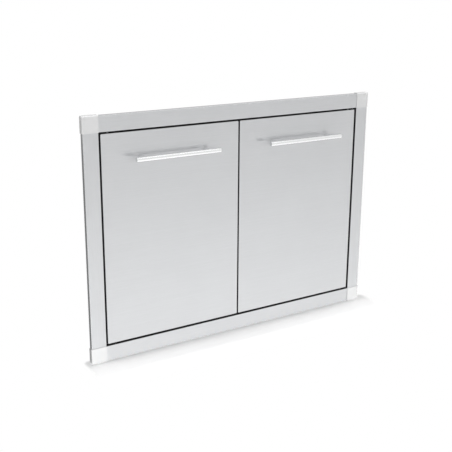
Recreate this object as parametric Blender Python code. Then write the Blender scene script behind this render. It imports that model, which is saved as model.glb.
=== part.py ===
"""A drop-in double access door for an outdoor kitchen island.

A flanged stainless frame with corner caps holds a sleeve that reaches back into the
cut-out, and two double-lined doors with bar handles that turn on pivot pins.

The origin is the centre of the opening, on the plane where the flange meets the wall.
X runs to the right, Y runs back into the wall and Z runs up. Lengths are in metres.
"""

import math

import bmesh
import bpy
from mathutils import Matrix, Vector

MM = 0.001

# Fits that all pieces share
SEAT = 0.3 * MM  # between two pieces that touch
RUNNING = 0.3 * MM  # round a pin that turns, and round a screw

# Frame: four folded channels
OUTER_WIDTH = 851 * MM
OUTER_HEIGHT = 610 * MM
FLANGE_DEPTH = 12.7 * MM
FACE_WIDTH = 39.5 * MM
FRAME_SHEET = 1.2 * MM
FRAME_BEND = 0.5 * MM  # inside radius
REAR_LIP = 12 * MM

# Corner caps: smooth shells over the frame's corners
CAP_SHEET = 1.0 * MM

# Sleeve: four folded walls that line the cut-out
SLEEVE_SHEET = 1.0 * MM
SLEEVE_BEND = 0.6 * MM
SLEEVE_DEPTH = 60 * MM
SLEEVE_LIP = 10 * MM
MOUNTING_HOLE = 2.5 * MM  # radius
MOUNTING_HOLE_RISE = 180 * MM  # from the middle of a side wall
MOUNTING_HOLE_DEPTH = 30 * MM  # behind the flange

# Doors: a folded front panel, closed at the back by a pressed liner
SIDE_GAP = 4.7 * MM  # between a door's hinge edge and its stile
END_GAP = 4.0 * MM  # above and below the doors
CENTRE_GAP = 4.0 * MM  # between the doors
DOOR_RECESS = 1.5 * MM
DOOR_THICKNESS = 20 * MM
DOOR_SHEET = 1.0 * MM
DOOR_BEND = 0.2 * MM
DOOR_CORNER = 2.5 * MM
LINER_LAP = 9 * MM
LINER_BORDER = 36 * MM
LINER_PRESSING = 3 * MM
LINER_SLOPE = 5 * MM
LINER_FIELD_CORNER = 16 * MM

# Seals: black strips on the door edges and round the opening
SEAL = 0.7 * MM
SEAL_START = 0.3 * MM  # behind the face of the sheet that it is on
SEAL_END = 0.8 * MM  # short of that sheet's rear edge

# Handles: a round bar on two posts
BAR_RADIUS = 6 * MM
BAR_LENGTH = 231 * MM
BAR_CHAMFER = 0.8 * MM
BAR_STANDOFF = 32.5 * MM  # from the door's face to the bar's axis
BAR_DROP = 62 * MM  # below the door's top edge
POST_RADIUS = 5 * MM
BAR_OVERHANG = 25.5 * MM  # past the axis of each post
SCREW_RADIUS = 2.5 * MM
SCREW_HEAD_RADIUS = 4.6 * MM
SCREW_HEAD = 2.8 * MM
SCREW_REACH = 12 * MM  # into the post

# Pivots: a shouldered pin below, a sprung pin above, flanged bushes in the frame
PIVOT_IN = 20 * MM  # from the door's hinge edge
PIVOT_BACK = 6 * MM  # behind the door's face
PIN_RADIUS = 2.5 * MM
PIN_IN_DOOR = 20 * MM
PIN_COLLAR_STEP = 1.4 * MM  # wider than the pin
BUSH_WALL = 0.8 * MM
BUSH_FLANGE = 1.2 * MM
BUSH_FLANGE_STEP = 1.0 * MM  # wider than the bush's body
BUSH_PROUD = 1.5 * MM  # past the sleeve
BLOCK_WIDTH = 28 * MM
BLOCK_HEIGHT = 24 * MM  # of the bottom block

# Sprung pin: its collar rides in a chamber in the top block, on a coil spring
PIN_CLEAR = 1.5 * MM  # how far its tip drops below the bush when it is pulled down
COLLAR_THICKNESS = 2.0 * MM
CHAMBER_END = 6 * MM  # wall above and below the chamber
CHAMBER_ROOM = 0.6 * MM  # round the collar
SPRING_SPACE = 22 * MM
SPRING_WIRE = 0.4 * MM  # radius
SPRING_TURNS = 6
TAB_DROP = 9 * MM  # from the block down to the finger tab
TAB_BEND = 4 * MM  # radius of the pin's middle line
TAB_LENGTH = 6 * MM  # behind the liner
PIN_CHAMFER = 0.6 * MM
SLOT_ROOM = 0.5 * MM  # round the tab

# Stops behind the doors, with their catches and bumpers
STOP_SHEET = 1.5 * MM
STOP_BEND = 0.8 * MM
STOP_LEG = 20 * MM
STOP_FOOT = 14 * MM
STOP_STANDOFF = 6 * MM  # behind the doors
STOP_CLEARANCE = 3 * MM  # from the sweep of a door's rear corner
CATCH_WIDTH = 44 * MM
CATCH_HEIGHT = 11 * MM
CATCH_OFFSET = 45 * MM  # from the middle of the frame
CATCH_RIM = 2.5 * MM
CATCH_FLOOR = 1.2 * MM
CATCH_BELOW_EDGE = 7 * MM  # from a door's top or bottom edge
STRIKE_SHEET = 1.0 * MM
BUMPER_RADIUS = 5 * MM
BUMPER_ROUND = 1.6 * MM

# How round things are divided
BEND_STEPS = 3
CORNER_STEPS = 3
BAR_SIDES = 32
SMALL_SIDES = 24
COIL_STEPS = 8

# Sizes that follow from the ones above
OPENING_WIDTH = OUTER_WIDTH - 2 * FACE_WIDTH
OPENING_HEIGHT = OUTER_HEIGHT - 2 * FACE_WIDTH
FACE_Y = -FLANGE_DEPTH
FRAME_OUTER_BEND = FRAME_BEND + FRAME_SHEET
CAP_PROUD = SEAT + CAP_SHEET
SLEEVE_INNER = FACE_WIDTH - FRAME_SHEET - SEAT  # from the frame's outer edge
DOOR_WIDTH = (OPENING_WIDTH - 2 * SIDE_GAP - CENTRE_GAP) / 2
DOOR_HEIGHT = OPENING_HEIGHT - 2 * END_GAP
DOOR_FACE_Y = FACE_Y + DOOR_RECESS
DOOR_BACK_Y = DOOR_FACE_Y + DOOR_THICKNESS
PIVOT_X = OPENING_WIDTH / 2 - SIDE_GAP - PIVOT_IN
PIVOT_Y = DOOR_FACE_Y + PIVOT_BACK
PIN_BORE = PIN_RADIUS + RUNNING
BUSH_RADIUS = PIN_BORE + BUSH_WALL
BUSH_FLANGE_RADIUS = BUSH_RADIUS + BUSH_FLANGE_STEP
PIN_COLLAR_RADIUS = PIN_RADIUS + PIN_COLLAR_STEP
PIN_REACH = END_GAP + FRAME_SHEET + SEAT + SLEEVE_SHEET + BUSH_PROUD
PIN_TRAVEL = PIN_REACH - (END_GAP - SEAT - BUSH_FLANGE) + PIN_CLEAR
DOOR_STACK = 2 * (DOOR_SHEET + SEAT)  # from the door's edge to the room inside the liner
SEAL_BUILD = SEAT + SEAL
REAR_SWEEP = math.hypot(PIVOT_IN + SEAL_BUILD, DOOR_THICKNESS - PIVOT_BACK)
STOP_Y = DOOR_BACK_Y + STOP_STANDOFF
MAGNET_Y = DOOR_BACK_Y + SEAT + STRIKE_SHEET + SEAT
POST_SPACING = BAR_LENGTH - 2 * BAR_OVERHANG

# Each side of the frame is one shape turned about Y: name, turn, direction from the middle
SIDES = (("top", 0, (0, 1)), ("right", 90, (1, 0)), ("bottom", 180, (0, -1)), ("left", 270, (-1, 0)))
CORNERS = (
    ("top_left", 0, (-1, 1)),
    ("top_right", 90, (1, 1)),
    ("bottom_right", 180, (1, -1)),
    ("bottom_left", 270, (-1, -1)),
)
DOORS = (("left", -1), ("right", 1))
ENDS = (("top", 1), ("bottom", -1))


def clear_scene():
    """Remove whatever the file holds."""
    for old in list(bpy.data.objects):
        bpy.data.objects.remove(old)


def make_material(name, colour, roughness, metallic):
    """One Principled material."""
    made = bpy.data.materials.new(name)
    made.use_nodes = True
    shader = made.node_tree.nodes["Principled BSDF"]
    shader.inputs["Base Color"].default_value = (*colour, 1)
    shader.inputs["Roughness"].default_value = roughness
    shader.inputs["Metallic"].default_value = metallic
    return made


def add_object(name, bm, material, parent=None, location=(0, 0, 0), rotation=(0, 0, 0)):
    """Turn a bmesh into a named object with outward faces and smooth round parts."""
    bmesh.ops.recalc_face_normals(bm, faces=bm.faces)
    mesh = bpy.data.meshes.new(name)
    bm.to_mesh(mesh)
    bm.free()
    mesh.shade_smooth()
    mesh.set_sharp_from_angle(angle=math.radians(35))
    if material:
        mesh.materials.append(material)
    made = bpy.data.objects.new(name, mesh)
    made.parent = parent
    made.location = location
    made.rotation_euler = rotation
    bpy.context.collection.objects.link(made)
    return made


def cut(target, name, bm, location=(0, 0, 0), rotation=(0, 0, 0)):
    """Take a shape out of an object; the cutter is placed in the object's own axes."""
    cutter = add_object(f"{target.name}_{name}", bm, None, target, location, rotation)
    cutter.hide_render = True
    cutter.display_type = "WIRE"
    difference = target.modifiers.new(name, "BOOLEAN")
    difference.operation = "DIFFERENCE"
    difference.solver = "EXACT"
    difference.object = cutter


def turned(profile, sides, closed=False):
    """Revolve (radius, height) points about Z; a closed profile makes a ring."""
    bm = bmesh.new()
    rings = []
    for radius, height in profile:
        if radius == 0:
            rings.append([bm.verts.new((0, 0, height))])
            continue
        angles = [2 * math.pi * step / sides for step in range(sides)]
        rings.append([bm.verts.new((radius * math.cos(a), radius * math.sin(a), height)) for a in angles])
    pairs = list(zip(rings, rings[1:]))
    if closed:
        pairs.append((rings[-1], rings[0]))
    for low, high in pairs:
        for step in range(sides):
            after = (step + 1) % sides
            if len(low) == 1:
                bm.faces.new((low[0], high[after], high[step]))
            elif len(high) == 1:
                bm.faces.new((low[step], low[after], high[0]))
            else:
                bm.faces.new((low[step], low[after], high[after], high[step]))
    return bm


def rod(radius, low, high, sides=SMALL_SIDES):
    """A plain round rod along Z."""
    return turned([(0, low), (radius, low), (radius, high), (0, high)], sides)


def block(low, high, bevel=0.0):
    """A box between two corners, with its edges eased."""
    bm = bmesh.new()
    size = Vector(high) - Vector(low)
    middle = (Vector(high) + Vector(low)) / 2
    bmesh.ops.create_cube(bm, size=1, matrix=Matrix.Translation(middle) @ Matrix.Diagonal((*size, 1)))
    if bevel:
        bmesh.ops.bevel(bm, geom=bm.edges[:], offset=bevel, segments=2, profile=0.5, affect="EDGES")
    return bm


def fold(path, sheet, bend):
    """Both faces of a folded sheet, from its middle line and the inside radius of its bends."""
    points = [Vector(point) for point in path]
    left, right = [], []

    def stand(spot, normal):
        left.append(spot + normal * sheet / 2)
        right.append(spot - normal * sheet / 2)

    def across(direction):
        return Vector((-direction.y, direction.x))

    stand(points[0], across((points[1] - points[0]).normalized()))
    for before, corner, after in zip(points, points[1:], points[2:]):
        coming = (corner - before).normalized()
        going = (after - corner).normalized()
        turn = math.atan2(coming.cross(going), coming.dot(going))
        radius = bend + sheet / 2
        start = corner - coming * radius * math.tan(abs(turn) / 2)
        to_start = across(coming) * math.copysign(radius, -turn)
        centre = start - to_start
        for step in range(BEND_STEPS + 1):
            spin = Matrix.Rotation(turn * step / BEND_STEPS, 2)
            stand(centre + spin @ to_start, spin @ across(coming))
    stand(points[-1], across((points[-1] - points[-2]).normalized()))
    return left, right


def folded_section(path, sheet, bend):
    """The closed outline of a folded sheet."""
    left, right = fold(path, sheet, bend)
    return left + right[::-1]


def side_bar(section, half_length, mitred):
    """Extrude a section along X; (inwards, y) points, mitred ends follow the frame's corners."""
    bm = bmesh.new()
    ends = []
    for sign in (-1, 1):
        reach = [half_length - (inwards if mitred else 0) for inwards, _ in section]
        ends.append([bm.verts.new((sign * u, y, -w)) for u, (w, y) in zip(reach, section)])
    count = len(section)
    for step in range(count):
        after = (step + 1) % count
        bm.faces.new((ends[0][step], ends[0][after], ends[1][after], ends[1][step]))
    bm.faces.new(ends[0])
    bm.faces.new(ends[1])
    return bm


def rounded_rectangle(width, height, radius):
    """Points round a rectangle with round corners, in X and Z."""
    points = []
    for quarter, (x, z) in enumerate(((1, 1), (-1, 1), (-1, -1), (1, -1))):
        centre_x = x * (width / 2 - radius)
        centre_z = z * (height / 2 - radius)
        for step in range(CORNER_STEPS + 1):
            angle = math.pi / 2 * (quarter + step / CORNER_STEPS)
            points.append((centre_x + radius * math.cos(angle), centre_z + radius * math.sin(angle)))
    return points


def loft(rings, closed):
    """Join rings of equal count; an open loft gets a flat cap at each end."""
    bm = bmesh.new()
    made = [[bm.verts.new((x, y, z)) for x, z in ring] for ring, y in rings]
    pairs = list(zip(made, made[1:]))
    if closed:
        pairs.append((made[-1], made[0]))
    else:
        bm.faces.new(made[0])
        bm.faces.new(made[-1])
    for near, far in pairs:
        for step in range(len(near)):
            after = (step + 1) % len(near)
            bm.faces.new((near[step], near[after], far[after], far[step]))
    return bm


def pan(path, sheet, bend, width, height, corner_radius):
    """A pan of folded sheet: the path gives (inset, y) from its rim to its floor."""
    left, right = fold(path, sheet, bend)
    rings = []
    for inset, y in left[::-1] + right:
        outline = rounded_rectangle(width - 2 * inset, height - 2 * inset, corner_radius(inset))
        rings.append((outline, y))
    return loft(rings, closed=False)


def place_side(name, bm, material, turn, direction):
    """Stand a side's shape at its edge of the frame."""
    across, up = direction
    spot = (across * OUTER_WIDTH / 2, 0, up * OUTER_HEIGHT / 2)
    return add_object(name, bm, material, None, spot, (0, math.radians(turn), 0))


def half_side(direction):
    """Half the outer length of a side of the frame."""
    return (OUTER_HEIGHT if direction[0] else OUTER_WIDTH) / 2


def build_frame(steel, cap_steel):
    """Four folded channels and the caps over their corners."""
    half = FRAME_SHEET / 2
    channel = folded_section(
        (
            (REAR_LIP, -half),
            (half, -half),
            (half, FACE_Y + half),
            (FACE_WIDTH - half, FACE_Y + half),
            (FACE_WIDTH - half, 0),
        ),
        FRAME_SHEET,
        FRAME_BEND,
    )
    names = {"top": "top_rail", "bottom": "bottom_rail", "left": "left_stile", "right": "right_stile"}
    for side, turn, direction in SIDES:
        bm = side_bar(channel, half_side(direction) - FRAME_OUTER_BEND, mitred=True)
        rail = place_side(names[side], bm, steel, turn, direction)
        if direction[1]:
            cut_pivot_holes(rail, BUSH_RADIUS + SEAT)
    for corner, turn, (across, up) in CORNERS:
        spot = (across * OUTER_WIDTH / 2, 0, up * OUTER_HEIGHT / 2)
        shell = corner_block(CAP_PROUD, CAP_PROUD + FRAME_OUTER_BEND, FACE_WIDTH, 0)
        cap = add_object(
            f"corner_cap_{corner}", shell, cap_steel, None, spot, (0, math.radians(turn), 0)
        )
        inside = corner_block(SEAT, SEAT + FRAME_OUTER_BEND, 2 * FACE_WIDTH, FLANGE_DEPTH)
        cut(cap, "hollow", inside)


def corner_block(proud, radius, reach, back):
    """A block at the top left corner, rounded where its three outer faces meet."""
    low = Vector((-proud, FACE_Y - proud, -reach))
    high = Vector((reach, back, proud))
    bm = block(low, high)
    tip = Vector((low.x, low.y, high.z))
    outer = [
        edge for edge in bm.edges if any((vert.co - tip).length < SEAT / 10 for vert in edge.verts)
    ]
    bmesh.ops.bevel(bm, geom=outer, offset=radius, segments=4, profile=0.5, affect="EDGES")
    return bm


def cut_pivot_holes(side, radius):
    """Holes for the two bushes, through a top or bottom piece in its side's axes."""
    for name, x in (("hole_a", -PIVOT_X), ("hole_b", PIVOT_X)):
        hole = rod(radius, -FACE_WIDTH - END_GAP, -FRAME_OUTER_BEND - FRAME_SHEET)
        cut(side, name, hole, (x, PIVOT_Y, 0))


def build_sleeve(steel, rubber):
    """The sleeve's four walls and the black strips round the opening."""
    half = SLEEVE_SHEET / 2
    wall = folded_section(
        (
            (SLEEVE_INNER - half, FACE_Y + FRAME_OUTER_BEND + SEAT),
            (SLEEVE_INNER - half, SLEEVE_DEPTH - half),
            (SLEEVE_INNER + SLEEVE_LIP, SLEEVE_DEPTH - half),
        ),
        SLEEVE_SHEET,
        SLEEVE_BEND,
    )
    near = FACE_WIDTH + SEAT
    strip = (
        (near, FACE_Y + SEAL_START),
        (near + SEAL, FACE_Y + SEAL_START),
        (near + SEAL, -SEAL_END),
        (near, -SEAL_END),
    )
    for side, turn, direction in SIDES:
        length = half_side(direction) - SEAT
        panel = place_side(f"sleeve_{side}", side_bar(wall, length, True), steel, turn, direction)
        seal = place_side(f"reveal_seal_{side}", side_bar(strip, length, True), rubber, turn, direction)
        if direction[1]:
            cut_pivot_holes(panel, BUSH_RADIUS + SEAT)
            cut_pivot_holes(seal, BUSH_FLANGE_RADIUS + SEAT)
            continue
        for name, along in (("screw_hole_a", -MOUNTING_HOLE_RISE), ("screw_hole_b", MOUNTING_HOLE_RISE)):
            hole = rod(MOUNTING_HOLE, -FACE_WIDTH, FRAME_SHEET - SLEEVE_INNER + SLEEVE_SHEET)
            cut(panel, name, hole, (along, MOUNTING_HOLE_DEPTH, 0))


def build_stops(steel, rubber, plastic, ferrite):
    """Angles behind the doors, magnetic catches on the top one and bumpers on the bottom one."""
    half = STOP_SHEET / 2
    foot = SLEEVE_INNER + SEAT + half
    angle = folded_section(
        (
            (foot + STOP_LEG - half, STOP_Y + half),
            (foot, STOP_Y + half),
            (foot, STOP_Y + STOP_FOOT),
        ),
        STOP_SHEET,
        STOP_BEND,
    )
    length = PIVOT_X - REAR_SWEEP - STOP_CLEARANCE
    for side, turn, direction in SIDES:
        if direction[1]:
            place_side(f"stop_{side}", side_bar(angle, length, False), steel, turn, direction)

    catch_z = DOOR_HEIGHT / 2 - CATCH_BELOW_EDGE
    depth = STOP_Y - SEAT - MAGNET_Y
    pocket = depth - CATCH_FLOOR
    half_width, half_height = CATCH_WIDTH / 2, CATCH_HEIGHT / 2
    for door, side in DOORS:
        spot = (side * CATCH_OFFSET, MAGNET_Y, catch_z)
        body = block((-half_width, 0, -half_height), (half_width, depth, half_height), 0.5 * MM)
        housing = add_object(f"{door}_catch_housing", body, plastic, None, spot)
        inner_x, inner_z = half_width - CATCH_RIM, half_height - CATCH_RIM
        room = block((-inner_x, -depth, -inner_z), (inner_x, pocket, inner_z))
        cut(housing, "pocket", room)
        bar_x, bar_z = inner_x - SEAT, inner_z - SEAT
        bar = block((-bar_x, 0, -bar_z), (bar_x, pocket - SEAT, bar_z), 0.4 * MM)
        add_object(f"{door}_catch_magnet", bar, ferrite, None, spot)

        tip, root = DOOR_BACK_Y + SEAT, STOP_Y - SEAT
        profile = [(0, 0), (BUMPER_RADIUS, 0)]
        for step in range(BEND_STEPS + 1):
            angle = math.pi / 2 * step / BEND_STEPS
            shrink = BUMPER_ROUND * (1 - math.cos(angle))
            rise = BUMPER_ROUND * (1 - math.sin(angle))
            profile.append((BUMPER_RADIUS - shrink, root - tip - rise))
        profile.append((0, root - tip))
        bumper = turned(profile, SMALL_SIDES)
        spot = (side * CATCH_OFFSET, root, -catch_z)
        add_object(f"{door}_bumper", bumper, rubber, None, spot, (math.radians(90), 0, 0))


def build_bushes(plastic):
    """A flanged bush at each end of each door's axis."""
    lip = SEAT + BUSH_FLANGE
    outer_end = FRAME_SHEET + SEAT + SLEEVE_SHEET + BUSH_PROUD
    profile = [
        (PIN_BORE, -lip),
        (BUSH_FLANGE_RADIUS, -lip),
        (BUSH_FLANGE_RADIUS, -SEAT),
        (BUSH_RADIUS, -SEAT),
        (BUSH_RADIUS, outer_end),
        (PIN_BORE, outer_end),
    ]
    for door, side in DOORS:
        for end, up in ENDS:
            bm = turned(profile, SMALL_SIDES, closed=True)
            spot = (side * PIVOT_X, PIVOT_Y, up * OPENING_HEIGHT / 2)
            turn = (0 if up > 0 else math.pi, 0, 0)
            add_object(f"{door}_pivot_bush_{end}", bm, plastic, None, spot, turn)


def build_door(door, side, materials):
    """One door, hung from an empty on its pivot axis."""
    steel, handle_steel, rubber, zinc, spring_steel = materials
    axis = bpy.data.objects.new(f"{door}_door_axis", None)
    axis.location = (side * PIVOT_X, PIVOT_Y, 0)
    bpy.context.collection.objects.link(axis)
    middle = -side * (DOOR_WIDTH / 2 - PIVOT_IN)
    face = DOOR_FACE_Y - PIVOT_Y
    back = DOOR_BACK_Y - PIVOT_Y

    half = DOOR_SHEET / 2
    least = DOOR_BEND
    panel_path = ((half, back), (half, face + half), (DOOR_CORNER, face + half))
    panel_mesh = pan(
        panel_path, DOOR_SHEET, DOOR_BEND, DOOR_WIDTH, DOOR_HEIGHT,
        lambda inset: max(DOOR_CORNER - inset, least),
    )
    panel = add_object(f"{door}_door_panel", panel_mesh, steel, axis, (middle, 0, 0))

    inside = DOOR_SHEET + SEAT
    pressed = back - half - LINER_PRESSING
    liner_path = (
        (half, back - LINER_LAP),
        (half, back - half),
        (LINER_BORDER, back - half),
        (LINER_BORDER + LINER_SLOPE, pressed),
        (LINER_BORDER + 2 * LINER_SLOPE, pressed),
    )

    def liner_corner(inset):
        if inset < LINER_BORDER / 2:
            return max(DOOR_CORNER - inside - inset, least)
        return LINER_FIELD_CORNER + LINER_BORDER - inset

    liner_mesh = pan(
        liner_path, DOOR_SHEET, DOOR_BEND, DOOR_WIDTH - 2 * inside, DOOR_HEIGHT - 2 * inside, liner_corner
    )
    liner = add_object(f"{door}_door_liner", liner_mesh, steel, axis, (middle, 0, 0))

    def seal_ring(offset):
        outline = (DOOR_WIDTH + 2 * offset, DOOR_HEIGHT + 2 * offset, DOOR_CORNER + offset)
        return rounded_rectangle(*outline)

    front, rear = face + SEAL_START, back - SEAL_END
    near, far = seal_ring(SEAT), seal_ring(SEAT + SEAL)
    seal_mesh = loft([(near, front), (far, front), (far, rear), (near, rear)], closed=True)
    seal = add_object(f"{door}_edge_seal", seal_mesh, rubber, axis, (middle, 0, 0))

    build_pivots(door, side, axis, (panel, liner, seal), zinc, spring_steel)
    build_handle(door, side, axis, panel, middle, face, handle_steel, zinc)
    strike = block(
        (-CATCH_WIDTH / 2, 0, -CATCH_HEIGHT / 2), (CATCH_WIDTH / 2, STRIKE_SHEET, CATCH_HEIGHT / 2)
    )
    spot = (side * (CATCH_OFFSET - PIVOT_X), back + SEAT, DOOR_HEIGHT / 2 - CATCH_BELOW_EDGE)
    add_object(f"{door}_strike_plate", strike, zinc, axis, spot)


def build_pivots(door, side, axis, shells, zinc, spring_steel):
    """The door's pins, in steel blocks that fill its top and bottom hinge corners."""
    build_bottom_pin(door, side, axis, zinc)
    tab_z = build_sprung_pin(door, side, axis, zinc, spring_steel)

    panel, liner, seal = shells
    across = -panel.location.x
    for end, up in ENDS:
        spot = (across, 0, up * DOOR_HEIGHT / 2)
        for shell in (panel, liner):
            cut(shell, f"pin_hole_{end}", rod(PIN_RADIUS + SEAT, -DOOR_STACK, DOOR_STACK), spot)
        cut(seal, f"pin_hole_{end}", rod(PIN_COLLAR_RADIUS + SEAT, -DOOR_STACK, DOOR_STACK), spot)

    back = DOOR_BACK_Y - PIVOT_Y
    half_width = PIN_RADIUS + SLOT_ROOM
    outline = rounded_rectangle(2 * half_width, 2 * half_width + PIN_TRAVEL, half_width)
    slot = loft([(outline, back - 2 * DOOR_SHEET), (outline, back + DOOR_SHEET)], closed=False)
    cut(liner, "tab_slot", slot, (across, 0, DOOR_HEIGHT / 2 + tab_z - PIN_TRAVEL / 2))


def pivot_block(name, side, height, material, axis, up):
    """A block in a hinge corner of the door, bored later."""
    hinge_side = side * (PIVOT_IN - DOOR_STACK)
    across = sorted((hinge_side, hinge_side - side * BLOCK_WIDTH))
    low_y = DOOR_FACE_Y - PIVOT_Y + DOOR_SHEET + SEAT
    high_y = DOOR_BACK_Y - PIVOT_Y - DOOR_SHEET - SEAT
    near, far = sorted((-up * DOOR_STACK, -up * (DOOR_STACK + height)))
    body = block((across[0], low_y, near), (across[1], high_y, far))
    return add_object(name, body, material, axis, (0, 0, up * DOOR_HEIGHT / 2))


def build_bottom_pin(door, side, axis, zinc):
    """A fixed pin whose collar carries the door on the bush's flange."""
    bottom = pivot_block(f"{door}_pivot_block_bottom", side, BLOCK_HEIGHT, zinc, axis, -1)
    cut(bottom, "bore", rod(PIN_RADIUS + SEAT, 0, 2 * BLOCK_HEIGHT))
    collar_top = END_GAP - BUSH_FLANGE - 2 * SEAT
    pin = turned(
        [
            (0, -PIN_IN_DOOR),
            (PIN_RADIUS, -PIN_IN_DOOR),
            (PIN_RADIUS, SEAT),
            (PIN_COLLAR_RADIUS, SEAT),
            (PIN_COLLAR_RADIUS, collar_top),
            (PIN_RADIUS, collar_top),
            (PIN_RADIUS, PIN_REACH - PIN_CHAMFER),
            (PIN_RADIUS - PIN_CHAMFER, PIN_REACH),
            (0, PIN_REACH),
        ],
        SMALL_SIDES,
    )
    spot = (0, 0, -DOOR_HEIGHT / 2)
    add_object(f"{door}_pivot_pin_bottom", pin, zinc, axis, spot, (math.pi, 0, 0))


def build_sprung_pin(door, side, axis, zinc, spring_steel):
    """A pin that a spring holds up in its bush; returns its tab's height from the door's edge."""
    ceiling = -DOOR_STACK - CHAMBER_END
    collar_top = ceiling - SEAT
    collar_low = collar_top - COLLAR_THICKNESS
    floor = collar_low - SPRING_SPACE
    top = pivot_block(
        f"{door}_pivot_block_top", side, ceiling - floor + 2 * CHAMBER_END, zinc, axis, 1
    )
    chamber = PIN_COLLAR_RADIUS + CHAMBER_ROOM
    room = turned(
        [
            (0, floor - 2 * CHAMBER_END),
            (PIN_BORE, floor - 2 * CHAMBER_END),
            (PIN_BORE, floor),
            (chamber, floor),
            (chamber, ceiling),
            (PIN_BORE, ceiling),
            (PIN_BORE, 0),
            (0, 0),
        ],
        SMALL_SIDES,
    )
    cut(top, "chamber", room)

    edge = (0, 0, DOOR_HEIGHT / 2)
    tab_z = floor - CHAMBER_END - TAB_DROP
    tab_end = DOOR_BACK_Y - PIVOT_Y + TAB_LENGTH
    stations = [
        (0, PIN_REACH, 0, PIN_RADIUS - PIN_CHAMFER),
        (0, PIN_REACH - PIN_CHAMFER, 0, PIN_RADIUS),
        (0, collar_top, 0, PIN_RADIUS),
        (0, collar_top, 0, PIN_COLLAR_RADIUS),
        (0, collar_low, 0, PIN_COLLAR_RADIUS),
        (0, collar_low, 0, PIN_RADIUS),
    ]
    for step in range(BEND_STEPS + 1):
        heading = math.pi / 2 * step / BEND_STEPS
        y = TAB_BEND * (1 - math.cos(heading))
        z = tab_z + TAB_BEND * (1 - math.sin(heading))
        stations.append((y, z, heading, PIN_RADIUS))
    stations.append((tab_end - PIN_CHAMFER, tab_z, math.pi / 2, PIN_RADIUS))
    stations.append((tab_end, tab_z, math.pi / 2, PIN_RADIUS - PIN_CHAMFER))
    add_object(f"{door}_pivot_pin_top", bent_bar(stations), zinc, axis, edge)

    radius = (PIN_BORE + chamber) / 2
    ends = floor + SEAT + SPRING_WIRE, collar_low - SEAT - SPRING_WIRE
    spring = coil_spring(f"{door}_pivot_spring", radius, ends, spring_steel)
    spring.parent = axis
    spring.location = edge
    return tab_z


def bent_bar(stations):
    """A round bar along a line in Y and Z: (y, z, heading, radius), heading 0 down, 90 degrees back."""
    bm = bmesh.new()
    rings = []
    for y, z, heading, radius in stations:
        ring = []
        for step in range(SMALL_SIDES):
            angle = 2 * math.pi * step / SMALL_SIDES
            out = radius * math.sin(angle)
            spot = (radius * math.cos(angle), y + out * math.cos(heading), z + out * math.sin(heading))
            ring.append(bm.verts.new(spot))
        rings.append(ring)
    for near, far in zip(rings, rings[1:]):
        for step in range(SMALL_SIDES):
            after = (step + 1) % SMALL_SIDES
            bm.faces.new((near[step], near[after], far[after], far[step]))
    bm.faces.new(rings[0])
    bm.faces.new(rings[-1])
    return bm


def coil_spring(name, radius, ends, material):
    """A round wire wound at a steady pitch between two heights of its middle line."""
    wire = bpy.data.curves.new(name, "CURVE")
    wire.dimensions = "3D"
    wire.bevel_depth = SPRING_WIRE
    wire.bevel_resolution = 1
    wire.use_fill_caps = True
    spline = wire.splines.new("POLY")
    last = SPRING_TURNS * COIL_STEPS
    spline.points.add(last)
    low, high = ends
    for index, point in enumerate(spline.points):
        angle = 2 * math.pi * index / COIL_STEPS
        height = low + (high - low) * index / last
        point.co = (radius * math.cos(angle), radius * math.sin(angle), height, 1)
    wire.materials.append(material)
    made = bpy.data.objects.new(name, wire)
    bpy.context.collection.objects.link(made)
    return made


def build_handle(door, side, axis, panel, middle, face, steel, zinc):
    """A round bar on two coped posts, each held by a screw from inside the panel."""
    height = DOOR_HEIGHT / 2 - BAR_DROP
    bar_y = face - BAR_STANDOFF
    along_x = (0, math.radians(90), 0)
    forward = (math.radians(90), 0, 0)
    end = BAR_LENGTH / 2
    profile = [
        (0, -end),
        (BAR_RADIUS - BAR_CHAMFER, -end),
        (BAR_RADIUS, BAR_CHAMFER - end),
        (BAR_RADIUS, end - BAR_CHAMFER),
        (BAR_RADIUS - BAR_CHAMFER, end),
        (0, end),
    ]
    bar = turned(profile, BAR_SIDES)
    add_object(f"{door}_handle_bar", bar, steel, axis, (middle, bar_y, height), along_x)
    screw_bore = SCREW_RADIUS + RUNNING
    for post, away in (("outer", side), ("inner", -side)):
        x = middle + away * POST_SPACING / 2
        bore_end = SCREW_REACH + RUNNING
        post_profile = [
            (0, bore_end),
            (screw_bore, bore_end),
            (screw_bore, SEAT),
            (POST_RADIUS, SEAT),
            (POST_RADIUS, BAR_STANDOFF),
            (0, BAR_STANDOFF),
        ]
        column = turned(post_profile, SMALL_SIDES)
        made = add_object(
            f"{door}_handle_post_{post}", column, steel, axis, (x, face, height), forward
        )
        saddle = rod(BAR_RADIUS + SEAT, -BAR_RADIUS * 2, BAR_RADIUS * 2, BAR_SIDES)
        cut(made, "saddle", saddle, (0, 0, BAR_STANDOFF), along_x)
        head = DOOR_SHEET + SEAT
        screw_profile = [
            (0, -head - SCREW_HEAD),
            (SCREW_HEAD_RADIUS, -head - SCREW_HEAD),
            (SCREW_HEAD_RADIUS, -head),
            (SCREW_RADIUS, -head),
            (SCREW_RADIUS, SCREW_REACH),
            (0, SCREW_REACH),
        ]
        screw = turned(screw_profile, SMALL_SIDES)
        add_object(f"{door}_handle_screw_{post}", screw, zinc, axis, (x, face, height), forward)
        hole = rod(screw_bore, -head - DOOR_SHEET, head)
        cut(panel, f"screw_hole_{post}", hole, (x - middle, face, height), forward)


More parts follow.
